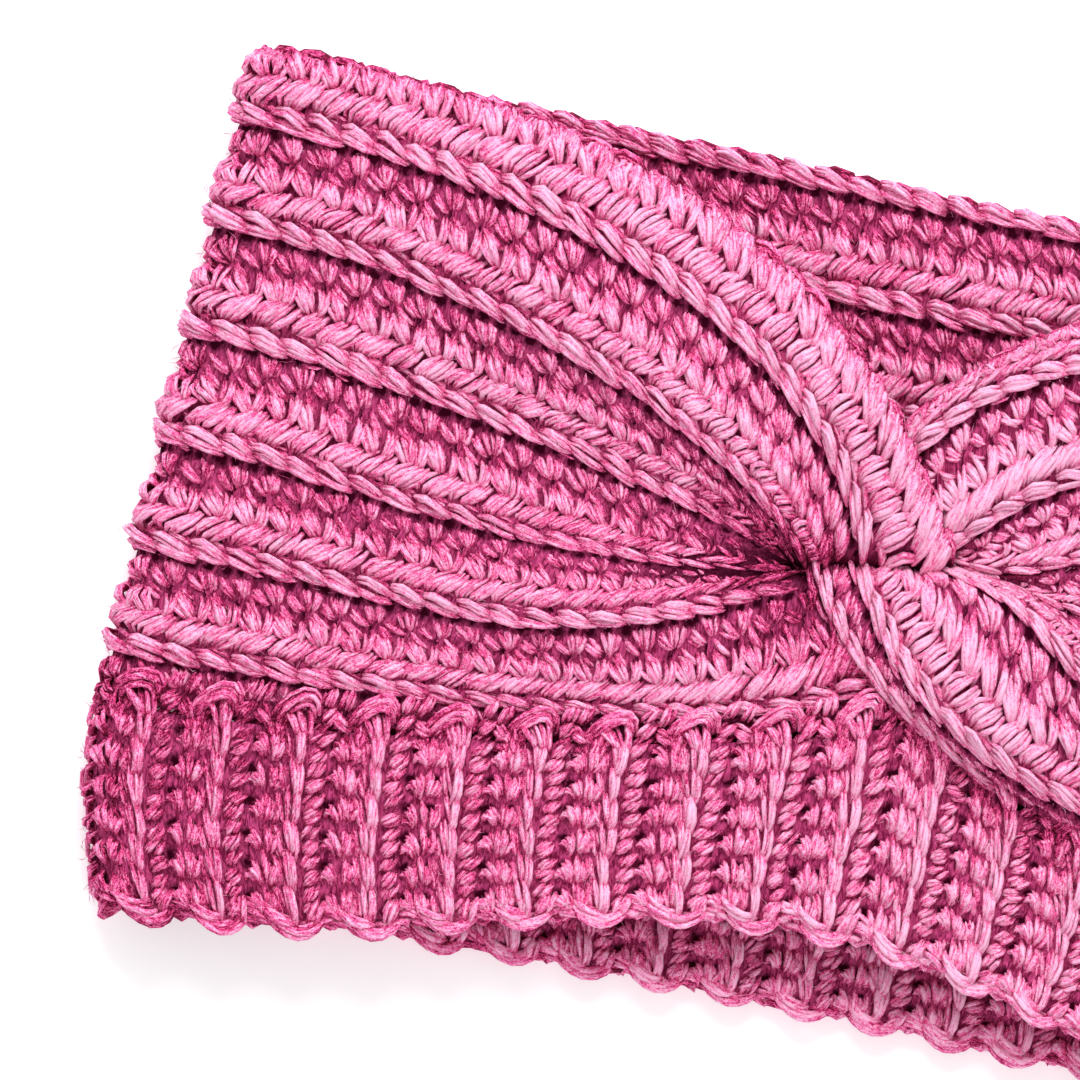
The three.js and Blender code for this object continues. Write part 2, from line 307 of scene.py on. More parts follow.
LEFT_ROWS = [
    (0.0, 76.0, 60, -12, 61, 26.0, 12.5, 12.4, 16.0),
    (0.083, 65.8, 23, -17, 59, 31.0, -1.0, 10.4, 14.5),
    (0.25, 47.3, 32, -32, 34, 29.0, -11.5, 8.6, 14.5),
    (0.417, 28.3, 29, -28, 17, 14.5, -14.0, 8.4, 15.0),
    (0.583, 9.2, 20, -56, 0, 16.0, -13.5, 7.4, 16.0),
    (0.75, -9.4, 64, -57, -15, 20.0, -11.5, 6.2, 16.5),
    (0.917, -27.4, 24, -2, -25, 15.0, 6.0, -4.0, 15.0),
    (1.0, -36.0, 20, -22, -26, 15.0, 11.0, -12.5, 15.0),
]
RIGHT_ROWS = [
    (0.0, 76.0, 70, 9, 55, 15.0, -4.0, 27.0, 15.0),
    (0.083, 65.8, 76, 9, 50, 15.0, -4.0, 22.0, 15.0),
    (0.25, 47.3, 75, 27, 33, 18.0, 11.0, 16.5, 15.5),
    (0.417, 28.3, 100, 38, 12, 16.0, 13.0, 14.6, 15.5),
    (0.583, 9.2, 100, 42, 10, 14.5, 13.5, 13.8, 15.0),
    (0.75, -9.4, 105, 47, 8, 29.0, 11.0, 12.8, 16.0),
    (0.917, -27.4, 94, 12.5, -15.5, 31.0, -3.5, 11.2, 14.5),
    (1.0, -36.0, 80, -2, -12, 20.0, -10.0, 10.2, 16.0),
]


def through(places, values, x):
    """Smooth value at each x through the points (places, values)."""
    last = len(places) - 1
    low, high = np.maximum(np.arange(last + 1) - 1, 0), np.minimum(np.arange(last + 1) + 1, last)
    slopes = (values[high] - values[low]) / (places[high] - places[low])
    i = np.clip(np.searchsorted(places, x, side="left") - 1, 0, last - 1)
    width, rise = places[i + 1] - places[i], values[i + 1] - values[i]
    u = (x - places[i]) / width
    a, b = slopes[i] * width - rise, rise - slopes[i + 1] * width
    return values[i] + rise * u + u * (1 - u) * (a * (1 - u) + b * u)


def fold_start(half_width):
    return half_width - FOLD_RADIUS - WALL / 2 - RELIEF


def band_middle(side, along, across):
    """Middle of the fabric on one side, for a column of places across and a row of along, which is
    -2 at the middle of the back, -1 to 0 round the side fold, and 1 in the twist."""
    table = np.array(LEFT_ROWS if side < 0 else RIGHT_ROWS)
    row = {name: through(table[:, 0], table[:, k], across) for k, name in enumerate(ROW_COLUMNS)}
    edge_x = side * fold_start(HALF_WIDTH_TOP + (HALF_WIDTH_JOIN - HALF_WIDTH_TOP) * across)
    controls = [
        (edge_x, row["start_y"], FRONT_Z + 0 * across),
        (edge_x - side * row["leave"], row["start_y"], FRONT_Z + 0 * across),
        (row["turn_x"], row["turn_y"], row["turn_z"]),
        (row["end_x"], row["end_y"], row["end_z"]),
    ]
    u = np.maximum(along, 0)
    weights = [(1 - u) ** 3, 3 * u * (1 - u) ** 2, 3 * u**2 * (1 - u), u**3]
    front = [sum(w * c[k] for w, c in zip(weights, controls)) for k in range(3)]
    turn = math.pi * (along + 1)
    fold = [
        edge_x + side * FOLD_RADIUS * np.sin(turn),
        row["start_y"] + 0 * turn,
        FOLD_Z - FOLD_RADIUS * np.cos(turn) + 0 * across,
    ]
    out = along + 2
    back_y = BAND_TOP - BAND_DEEP * across
    back = [edge_x * out, back_y + (row["start_y"] - back_y) * out**2, BACK_Z + 0 * out * across]
    points = [np.where(along > 0, f, np.where(along > -1, d, b)) for f, d, b in zip(front, fold, back)]
    return np.stack(points, axis=-1)


def normals(place, turned):
    """Direction out of the fabric all over a grid of places."""
    out = turned * np.cross(np.gradient(place, axis=0), np.gradient(place, axis=1))
    return out / np.maximum(np.linalg.norm(out, axis=2, keepdims=True), 1e-9)


def patch(grid, row, column, key):
    """A value of a grid of fabric, at rows and columns counted in its own steps."""
    table = grid[key]
    row = np.clip(row, 0, table.shape[0] - 1.001)
    column = np.clip(column, 0, table.shape[1] - 1.001)
    r, c = row.astype(int), column.astype(int)
    u, v = row - r, column - c
    if table.ndim == 3:
        u, v = u[..., None], v[..., None]
    near = table[r, c] * (1 - u) + table[r + 1, c] * u
    far = table[r, c + 1] * (1 - u) + table[r + 1, c + 1] * u
    return near * (1 - v) + far * v


ACROSS = np.linspace(-0.03, 1.03, 107)
STEP = 0.75  # millimetres of fabric between two columns of a grid
TUCKS = {-1: (2.8, 4.5), 1: (4.5, 8.0)}  # how deep the rows of a side dip at their end, over what length
FABRIC = {}
for side in (-1, 1):
    along = np.concatenate(
        [np.linspace(-2, -1, 60)[:-1], np.linspace(-1, 0, 40)[:-1], np.linspace(0, 1.04, 240)]
    )
    grid = band_middle(side, along[None, :], ACROSS[:, None])
    lead = np.cumsum(np.linalg.norm(np.diff(grid, axis=1), axis=2), axis=1)
    lead = np.concatenate([np.zeros((len(ACROSS), 1)), lead], axis=1)
    stations = np.arange(0, lead.max() + STEP, STEP)
    values = np.concatenate([grid, np.repeat(along[None, :, None], len(ACROSS), axis=0)], axis=2)
    evened = np.stack(
        [
            np.stack([np.interp(stations, lead[r], values[r, :, k]) for k in range(4)], axis=-1)
            for r in range(len(ACROSS))
        ]
    )
    place, share = evened[..., :3], evened[..., 3]
    length = np.array([np.interp(1.0, along, lead[r]) for r in range(len(ACROSS))])
    dip, over = TUCKS[side]
    tuck = np.clip((stations[None, :] - length[:, None] + over) / over, 0, 1)
    place[..., 2] -= dip * tuck**2
    upright = (np.clip(1.6 * share, 0, 1) ** 2)[..., None]
    out = normals(place, -side) * (1 - upright) + np.array([0, 0, 1.0]) * upright
    out /= np.linalg.norm(out, axis=2, keepdims=True)
    spacing = np.linalg.norm(np.gradient(place, axis=0), axis=2)
    FABRIC[side] = {
        "place": place,
        "out": out,
        "share": share,
        "crowd": spacing / (BAND_DEEP * (ACROSS[1] - ACROSS[0])),
        "length": length,
        "ends": np.repeat(length[:, None], len(stations), axis=1),
    }

# The band's stitches. A rib is two rows: a raised chain of loops left free, then posts that lean
# into one hole in the recess below it, puffed loops, and slanting bars up to the next chain.
# Each fan gives plies, thickness, bulge, then (along, down) for its first and its last ply, and
# heights. Along is a share of the stitch's width, down is in millimetres from the chain.
STITCH = 5.8
FANS = {
    "chain_top": (4, 0.42, 0.2,
        [(-0.12, -1.2), (0.1, -1.7), (0.4, -1.35), (0.75, -0.55), (1.08, 0.3)],
        [(-0.05, -0.3), (0.18, -0.45), (0.48, 0.05), (0.8, 0.85), (1.08, 1.3)],
        [1.5, 3.4, 3.7, 3.0, 1.0]),
    "chain_low": (4, 0.4, 0.15,
        [(-0.12, -0.2), (0.12, 0.0), (0.45, 0.55), (0.8, 1.0), (1.15, 1.2)],
        [(-0.1, 0.8), (0.15, 1.15), (0.5, 1.55), (0.85, 1.75), (1.2, 1.6)],
        [1.1, 2.6, 3.0, 2.6, 0.9]),
    "chain_under": (1, 0.42, 0.0,
        [(0.3, 1.3), (0.6, 1.6), (0.95, 1.85), (1.2, 1.85), (1.5, 1.6)],
        [(0.3, 1.3), (0.6, 1.6), (0.95, 1.85), (1.2, 1.85), (1.5, 1.6)],
        [0.1, 0.9, 1.1, 0.9, 0.1]),
    "post_low": (3, 0.48, 0.3,
        [(0.0, 5.2), (0.18, 6.0), (0.36, 6.6), (0.54, 7.1), (0.74, 7.3)],
        [(0.06, 3.2), (0.2, 4.3), (0.36, 5.4), (0.54, 6.4), (0.74, 7.1)],
        [0.3, 1.3, 1.6, 1.1, -0.5]),
    "post_high": (5, 0.46, 0.3,
        [(0.26, 2.3), (0.34, 3.3), (0.48, 4.5), (0.62, 5.8), (0.76, 7.0)],
        [(0.9, 2.3), (1.02, 3.3), (1.02, 4.6), (0.95, 5.9), (0.86, 7.0)],
        [-0.4, 1.1, 1.8, 1.3, -0.4]),
    "foot": (2, 0.52, 0.2,
        [(-0.1, 6.2), (0.02, 7.0), (0.18, 7.7), (0.34, 8.3), (0.5, 8.8)],
        [(-0.2, 7.6), (-0.02, 8.2), (0.16, 8.8), (0.34, 9.4), (0.52, 9.9)],
        [0.1, 1.1, 1.5, 1.3, 0.2]),
    "loop_left": (5, 0.5, 0.35,
        [(-0.3, 9.0), (-0.14, 10.2), (0.02, 11.2), (0.2, 12.1), (0.38, 13.0)],
        [(0.22, 7.6), (0.34, 8.9), (0.44, 10.1), (0.5, 11.3), (0.54, 12.5)],
        [0.4, 2.3, 2.8, 2.5, 1.2]),
    "loop_right": (3, 0.5, 0.25,
        [(0.54, 7.9), (0.62, 9.2), (0.66, 10.4), (0.64, 11.6), (0.58, 12.8)],
        [(1.0, 8.2), (0.98, 9.5), (0.92, 10.7), (0.84, 11.9), (0.74, 13.0)],
        [0.4, 2.2, 2.7, 2.4, 1.2]),
    "bar": (6, 0.52, 0.4,
        [(0.0, 16.9), (-0.13, 15.6), (-0.06, 14.3), (0.16, 12.9), (0.5, 11.7)],
        [(0.46, 17.1), (0.7, 16.1), (0.9, 14.9), (1.08, 13.5), (1.18, 11.9)],
        [0.6, 2.3, 2.8, 2.7, 1.5]),
    "under_bar": (2, 0.5, 0.1,
        [(0.0, 16.0), (0.3, 15.9), (0.6, 16.0), (0.85, 16.4), (1.05, 16.8)],
        [(0.0, 17.6), (0.35, 17.4), (0.65, 17.4), (0.9, 17.7), (1.1, 18.0)],
        [0.1, 1.2, 1.5, 1.2, 0.2]),
}
RIM_FANS = {
    "rim": (6, 0.5, 0.2,
        [(0.02, -6.8), (0.08, -8.2), (0.16, -9.4), (0.26, -10.1), (0.34, -10.2)],
        [(0.98, -6.8), (0.92, -8.2), (0.84, -9.4), (0.74, -10.1), (0.66, -10.2)],
        [0.4, 1.9, 2.1, 0.9, -1.0]),
    "rim_middle": (3, 0.55, 0.1,
        [(-0.15, -9.7), (0.15, -10.6), (0.5, -10.9), (0.85, -10.6), (1.15, -9.7)],
        [(-0.15, -9.0), (0.15, -9.8), (0.5, -10.1), (0.85, -9.8), (1.15, -9.0)],
        [-0.8, -0.2, 0.1, -0.2, -0.8]),
}
LOW_RIM_FANS = {
    "low_rim_top": FANS["chain_top"],
    "low_rim_chain": FANS["chain_low"],
    "low_rim_side": (3, 0.5, 0.1,
        [(-0.25, 1.3), (0.1, 1.8), (0.5, 2.1), (0.9, 1.8), (1.25, 1.3)],
        [(-0.25, 2.1), (0.1, 2.6), (0.5, 2.8), (0.9, 2.6), (1.25, 2.1)],
        [0.0, 0.7, 1.0, 0.7, 0.0],
        [-2.0, -1.4, -1.2, -1.4, -2.0]),
}


# How unevenly the yarn is laid. A spread is STRAY in the two directions of a stitch's own map.
STRAY = 0.2  # millimetres that a whole fan strays
BAND_SPREAD, CUFF_SPREAD = np.array([0.035, STRAY]), np.array([STRAY, 0.04])
PLY_STRAY = 0.8  # share of that by which each of its plies strays again
FAN_TURN, PLY_TURN = 0.11, 0.09  # radians that a fan turns, and each of its plies
FULL_TURN_REACH = 3.5  # millimetres of ply above which it turns less
FAN_LIFT, PLY_LIFT = 0.16, 0.26  # millimetres that a fan strays up or down, and each of its plies
UNEVEN = 0.14  # share by which the thickness of plies varies
FATTER = 0.6  # how much fatter the plies are where fewer are made


def fan_plies(fan, cells, rng, spread, form):
    """Lines of a fan's plies in every cell, as an array of ply, point, (along, down, height).
    spread is how much a whole fan strays along and down. A fan of fewer plies has fatter ones."""
    count, radius, bulge, first, last, heights, *deeper = fan
    first, last, heights = np.array(first, float), np.array(last, float), np.array(heights, float)
    deeper = np.array(deeper[0] if deeper else heights, float)
    whole, count = count, max(1, round(count * form[3]))
    radius = radius * (whole / count) ** FATTER
    lines = []
    for k in range(count):
        t = (k + 0.5) / count if count > 1 else 0.5
        share = np.clip(t + (0.35 / count) * np.linspace(-1, 1, 5), 0, 1)[:, None]
        flat = first * (1 - share) + last * share
        arch = bulge * (1 - (2 * t - 1) ** 2) * np.array([0.3, 1, 1, 1, 0.3])
        raised = heights * (1 - t) + deeper * t + arch
        lines.append(np.concatenate([flat, raised[:, None]], axis=1))
    lines = np.repeat(np.array(lines)[None], len(cells), axis=0)
    lines[..., :2] += rng.normal(0, 1, (len(cells), 1, 1, 2)) * spread

    def lean(amount, shape, over):
        centre = lines[..., :2].mean(axis=over, keepdims=True)
        turn = rng.normal(0, amount, shape) * np.array([-1.0, 1.0])
        lines[..., :2] += turn * (lines[..., 1::-1] - centre[..., ::-1]) * spread / spread[::-1]

    reach = np.linalg.norm((first[-1] - first[0]) * STRAY / spread)
    lean(FAN_TURN * min(1, FULL_TURN_REACH / reach), (len(cells), 1, 1, 1), (1, 2))
    lean(PLY_TURN * min(1, FULL_TURN_REACH / reach), (len(cells), count, 1, 1), 2)
    lines[..., 2] += rng.normal(0, FAN_LIFT, (len(cells), 1, 1))
    astray = np.array([PLY_STRAY * spread[0], PLY_STRAY * spread[1], PLY_LIFT])
    lines += rng.normal(0, 1, (len(cells), count, 1, 3)) * astray
    radii = radius * rng.normal(1, UNEVEN, len(cells) * count)
    return lines.reshape(-1, 5, 3), np.repeat(cells, count), radii


# The colour follows height, and these paint further light and shade on it, in millimetres of height.
PAINTED_LIGHT_NEAR, PAINTED_LIGHT_HALF_WAY = 0.45, 60  # painted light gained at the twist, and how far from it nothing is gained; beyond, painted shade
PAINTED_LIGHT_RIGHT, RIGHT_FROM, RIGHT_OVER = 0.4, 4, 8  # painted light gained right of the twist, from where, over what
INNER_SHADE = 0.95  # painted shade lost inside the band
CREASE = 5.0  # length of every row with painted shade where it ends
CREASE_SHADE, CREASE_EASE = 2.4, 1.7  # painted shade lost there, and how much less of it at the right
EASE_FROM, EASE_OVER = -6, 8  # where along the band it starts to ease, and over what length
# Painted shade on rows that sink into the twist, by side, painted light where it is below 0, over
# what length of the row, and from which place across the band over what share of it.
TWIST_SHADE, TWIST_REACH = {-1: 4.0, 1: -1.1}, {-1: 26.0, 1: 45.0}
TWIST_ROWS = {-1: (0.12, 0.12), 1: (0.6, -0.3)}


def painted_light_gradient(x):
    """Painted light that the colour gains near the twist, and painted shade that it lacks near the side
    folds.
    """
    near = PAINTED_LIGHT_NEAR * np.clip(1 - np.abs(x) / PAINTED_LIGHT_HALF_WAY, -1, 1)
    return near + PAINTED_LIGHT_RIGHT * np.clip((x - RIGHT_FROM) / RIGHT_OVER, 0, 1)


# Where the rows crowd together the recesses close up, and plies go under their neighbours. Crowd
# is the room that a row has there, as a share of what it has where the band lies flat.
RECESS, CLOSED = ("chain_under", "post_low", "post_high", "foot", "under_bar"), 0.3
ROOM_FOR_ALL, FEWEST = 1.6, 0.3  # share of the plies made for each share of room, and the least
LEAST_THICK, MOST_THICK, THINNING = 0.5, 1.1, 0.4  # limits on the room that thins a ply, and how much
LEAST_HEIGHT = 0.65  # least share of its height that a ply keeps
LAST_PLY, BACK_LAP = 0.8, 0.1  # room left at a row's end, and how far plies pass the back's middle


def band_plies(side, chain, face, fans, first, last, seen, form, rng):
    """Plies of one rib on one side, from first to last millimetres below its chain, which runs at
    the place chain across the band. seen picks the stitches by their place along the band."""
    made = []
    grid, points = FABRIC[side], len(form[0])
    cells = np.arange(0, int(grid["length"].max() / STITCH) + 1).astype(float)
    row = (chain - ACROSS[0]) / (ACROSS[1] - ACROSS[0])
    cells = cells[seen(patch(grid, np.full(len(cells), row), (cells + 0.5) * STITCH / STEP, "share"))]
    for name, fan in fans.items():
        if not first <= (fan[3][2][1] + fan[4][2][1]) / 2 <= last or not len(cells):
            continue
        lines, cell, radii = fan_plies(fan, cells, rng, BAND_SPREAD, form)
        line = along_curve(lines, form[0])
        share = line[:, :, 0] if (side < 0) == (face > 0) else 1 - line[:, :, 0]
        s = (cell[:, None] + share) * STITCH
        across = chain + line[:, :, 1] / BAND_DEEP
        rows, columns = (across - ACROSS[0]) / (ACROSS[1] - ACROSS[0]), s / STEP
        middle, middle_row = s[:, points // 2], rows[:, points // 2]
        ends = patch(grid, middle_row, middle / STEP, "ends")
        crowd = patch(grid, middle_row, middle / STEP, "crowd")
        keep = (middle < ends - LAST_PLY) & (middle > -BACK_LAP)
        keep &= rng.random(len(s)) < np.maximum(ROOM_FOR_ALL * crowd, FEWEST)
        if name in RECESS:
            keep &= crowd > CLOSED
        s, across, rows, columns = s[keep], across[keep], rows[keep], columns[keep]
        line, radii, ends, crowd = line[keep], radii[keep], ends[keep], crowd[keep]
        radii = radii * np.clip(crowd, LEAST_THICK, MOST_THICK) ** THINNING
        height = line[:, :, 2] * np.clip(crowd, LEAST_HEIGHT, 1.0)[:, None]
        place, out = patch(grid, rows, columns, "place"), face * patch(grid, rows, columns, "out")
        to_end = ends[:, None] - s
        # Painted shade where left rows sink into the twist, painted light on right ones, and then painted
        # shade in the crease.
        sunk = TWIST_SHADE[side] * np.clip(1 - to_end / TWIST_REACH[side], 0, 1) ** 2
        first_row, over = TWIST_ROWS[side]
        sunk = sunk * np.clip((across - first_row) / over, 0, 1)
        # Painted shade in the crease at each row's end, less of it at the right.
        dark = CREASE_SHADE - CREASE_EASE * np.clip((place[..., 0] - EASE_FROM) / EASE_OVER, 0, 1)
        sunk = sunk + dark * np.clip(1 - to_end / CREASE, 0, 1)
        shaded = height + painted_light_gradient(place[..., 0]) - sunk - (INNER_SHADE if face < 0 else 0)
        made.append((place + out * height[..., None], out, radii, shaded, rng.random(len(s))))
    return made


FREE_EDGE = 0.5  # from here on the right panel's lower edge lies free on the left panel


def joined(groups):
    """Groups of plies as one: lines, directions out, radii, heights and tones."""
    return [np.concatenate([g[k] for g in groups]) for k in range(5)]


def whole_rib(rib, face, seen, form, rng):
    """Plies of everything from one chain to the next on the outside, face 1, or the inside."""
    groups = []
    for side in (-1, 1):
        if face > 0:
            last = RIB if rib < BAND_RIBS - 1 else 8
            groups += band_plies(side, (rib + 0.5) / BAND_RIBS, 1, FANS, -2, last, seen, form, rng)
            if rib == 0:
                above = 0.5 / BAND_RIBS
                groups += band_plies(side, above - 1 / BAND_RIBS, 1, FANS, 9, RIB, seen, form, rng)
                groups += band_plies(side, above, 1, RIM_FANS, -12, 0, seen, form, rng)
            if rib == BAND_RIBS - 1 and side > 0:
                free = lambda share: seen(share) & (share > FREE_EDGE)
                groups += band_plies(side, 1.0, 1, LOW_RIM_FANS, -3, 4, free, form, rng)
        else:
            groups += band_plies(side, rib / BAND_RIBS, -1, FANS, -2, RIB, seen, form, rng)
    return groups


# Places along the band: from where round the side fold the outside is seen, and up to where the
# inside of the back's first ribs shows through the notch. ALL_ROUND takes in every place.
SEEN_FROM, IN_NOTCH, ALL_ROUND = -0.6, (-1.35, -1.6, -1.7), -9
fuzzy = []
for rib in range(BAND_RIBS):
    rng = np.random.default_rng(100 + rib)
    near = whole_rib(rib, 1, lambda share: share > SEEN_FROM, FINE, rng)
    if rib < len(IN_NOTCH):
        near += whole_rib(rib, -1, lambda share: share < IN_NOTCH[rib], FINE, rng)
    fuzzy.append(joined(near))
    plies_object(f"band_rib_{rib + 1}_front", *fuzzy[-1], FINE)
    plies_object(
        f"band_rib_{rib + 1}_back",
        *joined(whole_rib(rib, 1, lambda share: share <= SEEN_FROM, COARSE, rng)),
        COARSE,
    )
    hidden_from = IN_NOTCH[rib] if rib < len(IN_NOTCH) else ALL_ROUND
    plies_object(
        f"band_rib_{rib + 1}_inside",
        *joined(whole_rib(rib, -1, lambda share: share >= hidden_from, HIDDEN, rng)),
        HIDDEN,
    )


HAIR_RADIUS, HAIR_REACH = 0.07, (1.2, 3.2)  # millimetres, the second from the shortest to the longest


def fuzz_object(name, plies, count, rng):
    """Loose fibres, as a mesh of bent hairs that stand a little off the plies."""
    lines, outs, radii, heights, tones = plies
    picked = rng.integers(0, len(lines), count)
    at = rng.integers(1, lines.shape[1] - 1, count)
    base, out = lines[picked, at], outs[picked, at]
    way = np.gradient(lines, axis=1)[picked, at]
    way /= np.maximum(np.linalg.norm(way, axis=1, keepdims=True), 1e-9)
    stray = rng.normal(0, 1, (count, 2, 3))
    reach = rng.uniform(*HAIR_REACH, (count, 1))
    root = base + out * radii[picked, None] * 0.7
    middle = root + reach * (0.45 * way * rng.choice([-1, 1], (count, 1)) + 0.18 * out + 0.16 * stray[:, 0])
    tip = middle + reach * (0.3 * way * rng.choice([-1, 1], (count, 1)) + 0.1 * out + 0.25 * stray[:, 1])
    hairs = np.stack([root, middle, tip], axis=1)
    # The hairs' colour gains painted light the further they stand off the plies.
    raised = heights[picked, at][:, None] + np.array([0.4, 0.8, 1.0])
    outward, thin = np.repeat(out[:, None], 3, axis=1), np.full(count, HAIR_RADIUS)
    return plies_object(name, hairs, outward, thin, raised, rng.random(count), HAIR)


fuzz_object("band_fuzz", joined(fuzzy), 9000, np.random.default_rng(150))

# The cuff. A loop of short upright ribs below the band: an upright chain on each, and between two
# chains slanting plies, a puffed arch of plies and small holes. It narrows towards its lower edge,
# and the twist draws its front up. Across runs to the right of a chain, in millimetres.
SEAM_GAP = 0.3
EDGE_ROUND = 1.5
CUFF_BOTTOM_BACK, CUFF_BOTTOM_FOLD = -68.5, -74.0
CUFF_PULL_UP = 19.0
CUFF_TAPER = 0.065
CUFF_RIBS = 38
CUFF_STITCHES = 6.5
STRAIGHT = 2 * fold_start(HALF_WIDTH_JOIN)
ARC = math.pi * FOLD_RADIUS
LOOP = 2 * (STRAIGHT + ARC)
# Painted shade, in millimetres of height that the cuff's colour lacks: all over, as it lies lower than
# the band, on the crowns at its top, on the rest of the seam there, and how much more of it on the inside.
CUFF_SHADE, CROWN_SHADE, SEAM_SHADE, INSIDE_SHADE = 0.25, 1.4, 0.9, 0.35
FOLD_SHADE = 1.6  # and painted shadow at its top below the right panel's free edge
FOLD_DEEP, FOLD_FROM, FOLD_OVER = 0.22, 2, 10  # how far down that goes, and where along it begins
CUFF_LIGHT_GAIN, CUFF_SHADE_GAIN = 1.3, 2.1  # how much more than the band it gains as painted light and lacks as painted shade, along its length
LAP = 20  # millimetres of the loop that its grid repeats beyond each end
LOWEST_PLY = 1.08  # how far down the cuff the middle of a ply may lie
DOWN = np.linspace(-0.3, 1.15, 59)


def lower_edge(x):
    """Height of the band's lower edge on the front."""
    u = np.linspace(0, 1, 200)[None, :]
    lines = {side: band_middle(side, u, np.ones((1, 1)))[0] for side in (-1, 1)}
    left, right = lines[-1], lines[1][::-1]
    on_left = np.interp(x, left[:, 0], left[:, 1])
    on_right = np.interp(x, right[:, 0], right[:, 1])
    return np.minimum(on_left, on_right)


def cuff_middle(way, down):
    """Middle of the cuff's fabric, for a row of ways round it and a column of places down it."""
    way = np.mod(way, LOOP)
    left, front = way < ARC, (way >= ARC) & (way < ARC + STRAIGHT)
    right = (way >= ARC + STRAIGHT) & (way < 2 * ARC + STRAIGHT)
    turn = np.where(left, way / ARC, 1 - (way - ARC - STRAIGHT) / ARC) * math.pi
    side = np.where(left, -1.0, 1.0)
    fold = left | right
    on_flat = np.where(front, way - ARC - STRAIGHT / 2, STRAIGHT / 2 - (way - 2 * ARC - STRAIGHT))
    x = np.where(fold, side * (STRAIGHT / 2 + FOLD_RADIUS * np.sin(turn)), on_flat)
    z = np.where(fold, FOLD_Z - FOLD_RADIUS * np.cos(turn), np.where(front, FRONT_Z, BACK_Z))
    back = np.where(fold, np.where(turn < math.pi / 2, 1 - np.sin(turn), 0), np.where(front, 0, 1))
    pull = np.cos(math.pi / 2 * np.clip(np.abs(x) / (STRAIGHT / 2), 0, 1)) ** 2
    top = np.where(front, lower_edge(x), BAND_BOTTOM) - SEAM_GAP - 2 * EDGE_ROUND
    bottom = CUFF_BOTTOM_FOLD + CUFF_PULL_UP * pull * front
    bottom = bottom + (CUFF_BOTTOM_BACK - bottom) * back * pull**0.25
    taper = 1 - CUFF_TAPER * down**2
    return np.stack([x * taper, top + (bottom - top) * down, z + 0 * down], axis=-1)


ways = np.arange(-LAP, LOOP + LAP, STEP)
place = cuff_middle(ways[None, :], DOWN[:, None])
CUFF = {"place": place, "out": normals(place, 1)}
CUFF_FANS = {
    "chain_left": (2, 0.4, 0.1,
        [(-1.5, -0.45), (-1.25, -0.1), (-0.85, 0.3), (-0.45, 0.7), (0.0, 1.1)],
        [(-0.95, -0.5), (-0.7, -0.15), (-0.35, 0.2), (0.0, 0.6), (0.35, 1.0)],
        [0.6, 2.3, 2.7, 2.4, 0.8]),
    "chain_right": (3, 0.42, 0.2,
        [(-0.4, -0.35), (-0.05, 0.0), (0.15, 0.38), (0.05, 0.75), (-0.3, 1.1)],
        [(0.5, -0.35), (1.0, 0.02), (1.2, 0.4), (1.0, 0.8), (0.4, 1.2)],
        [0.9, 2.9, 3.3, 2.9, 0.9]),
    "chain_side": (2, 0.42, 0.0,
        [(-2.7, 0.1), (-2.6, 0.35), (-2.4, 0.6), (-2.0, 0.85), (-1.6, 1.05)],
        [(-2.1, -0.05), (-2.0, 0.25), (-1.8, 0.5), (-1.4, 0.75), (-1.0, 0.95)],
        [0.2, 1.5, 1.8, 1.5, 0.2]),
    "oval": (4, 0.44, 0.2,
        [(1.9, 0.8), (2.0, 0.62), (2.4, 0.47), (3.1, 0.36), (3.9, 0.3)],
        [(2.4, 0.92), (3.3, 0.86), (4.3, 0.73), (4.9, 0.54), (5.0, 0.34)],
        [0.2, 1.7, 2.1, 1.7, 0.2]),
    "slant": (4, 0.43, 0.2,
        [(1.7, 0.36), (1.9, 0.2), (2.3, 0.05), (2.8, -0.1), (3.3, -0.22)],
        [(3.4, 0.38), (4.0, 0.26), (4.5, 0.12), (5.0, -0.03), (5.4, -0.18)],
        [0.2, 1.5, 1.9, 1.5, 0.2]),
    "bump_left": (5, 0.54, 0.3,
        [(5.1, 0.72), (5.6, 0.52), (6.2, 0.48), (6.9, 0.6), (7.3, 0.85)],
        [(7.4, -0.15), (7.7, 0.08), (8.0, 0.35), (8.2, 0.62), (8.3, 0.88)],
        [0.0, 1.5, 2.0, 1.5, 0.0]),
    "bump_right": (5, 0.54, 0.3,
        [(8.4, -0.2), (8.6, 0.08), (8.8, 0.35), (9.0, 0.62), (9.0, 0.88)],
        [(11.9, 0.3), (11.7, 0.45), (11.2, 0.6), (10.7, 0.75), (10.1, 0.88)],
        [0.0, 1.5, 2.0, 1.5, 0.0]),
    "right_fill": (3, 0.42, 0.1,
        [(10.3, -0.2), (10.7, 0.05), (11.1, 0.3), (11.4, 0.58), (11.5, 0.85)],
        [(11.5, -0.2), (11.9, 0.05), (12.2, 0.3), (12.3, 0.58), (12.3, 0.85)],
        [0.4, 1.3, 1.5, 1.2, 0.4]),
}
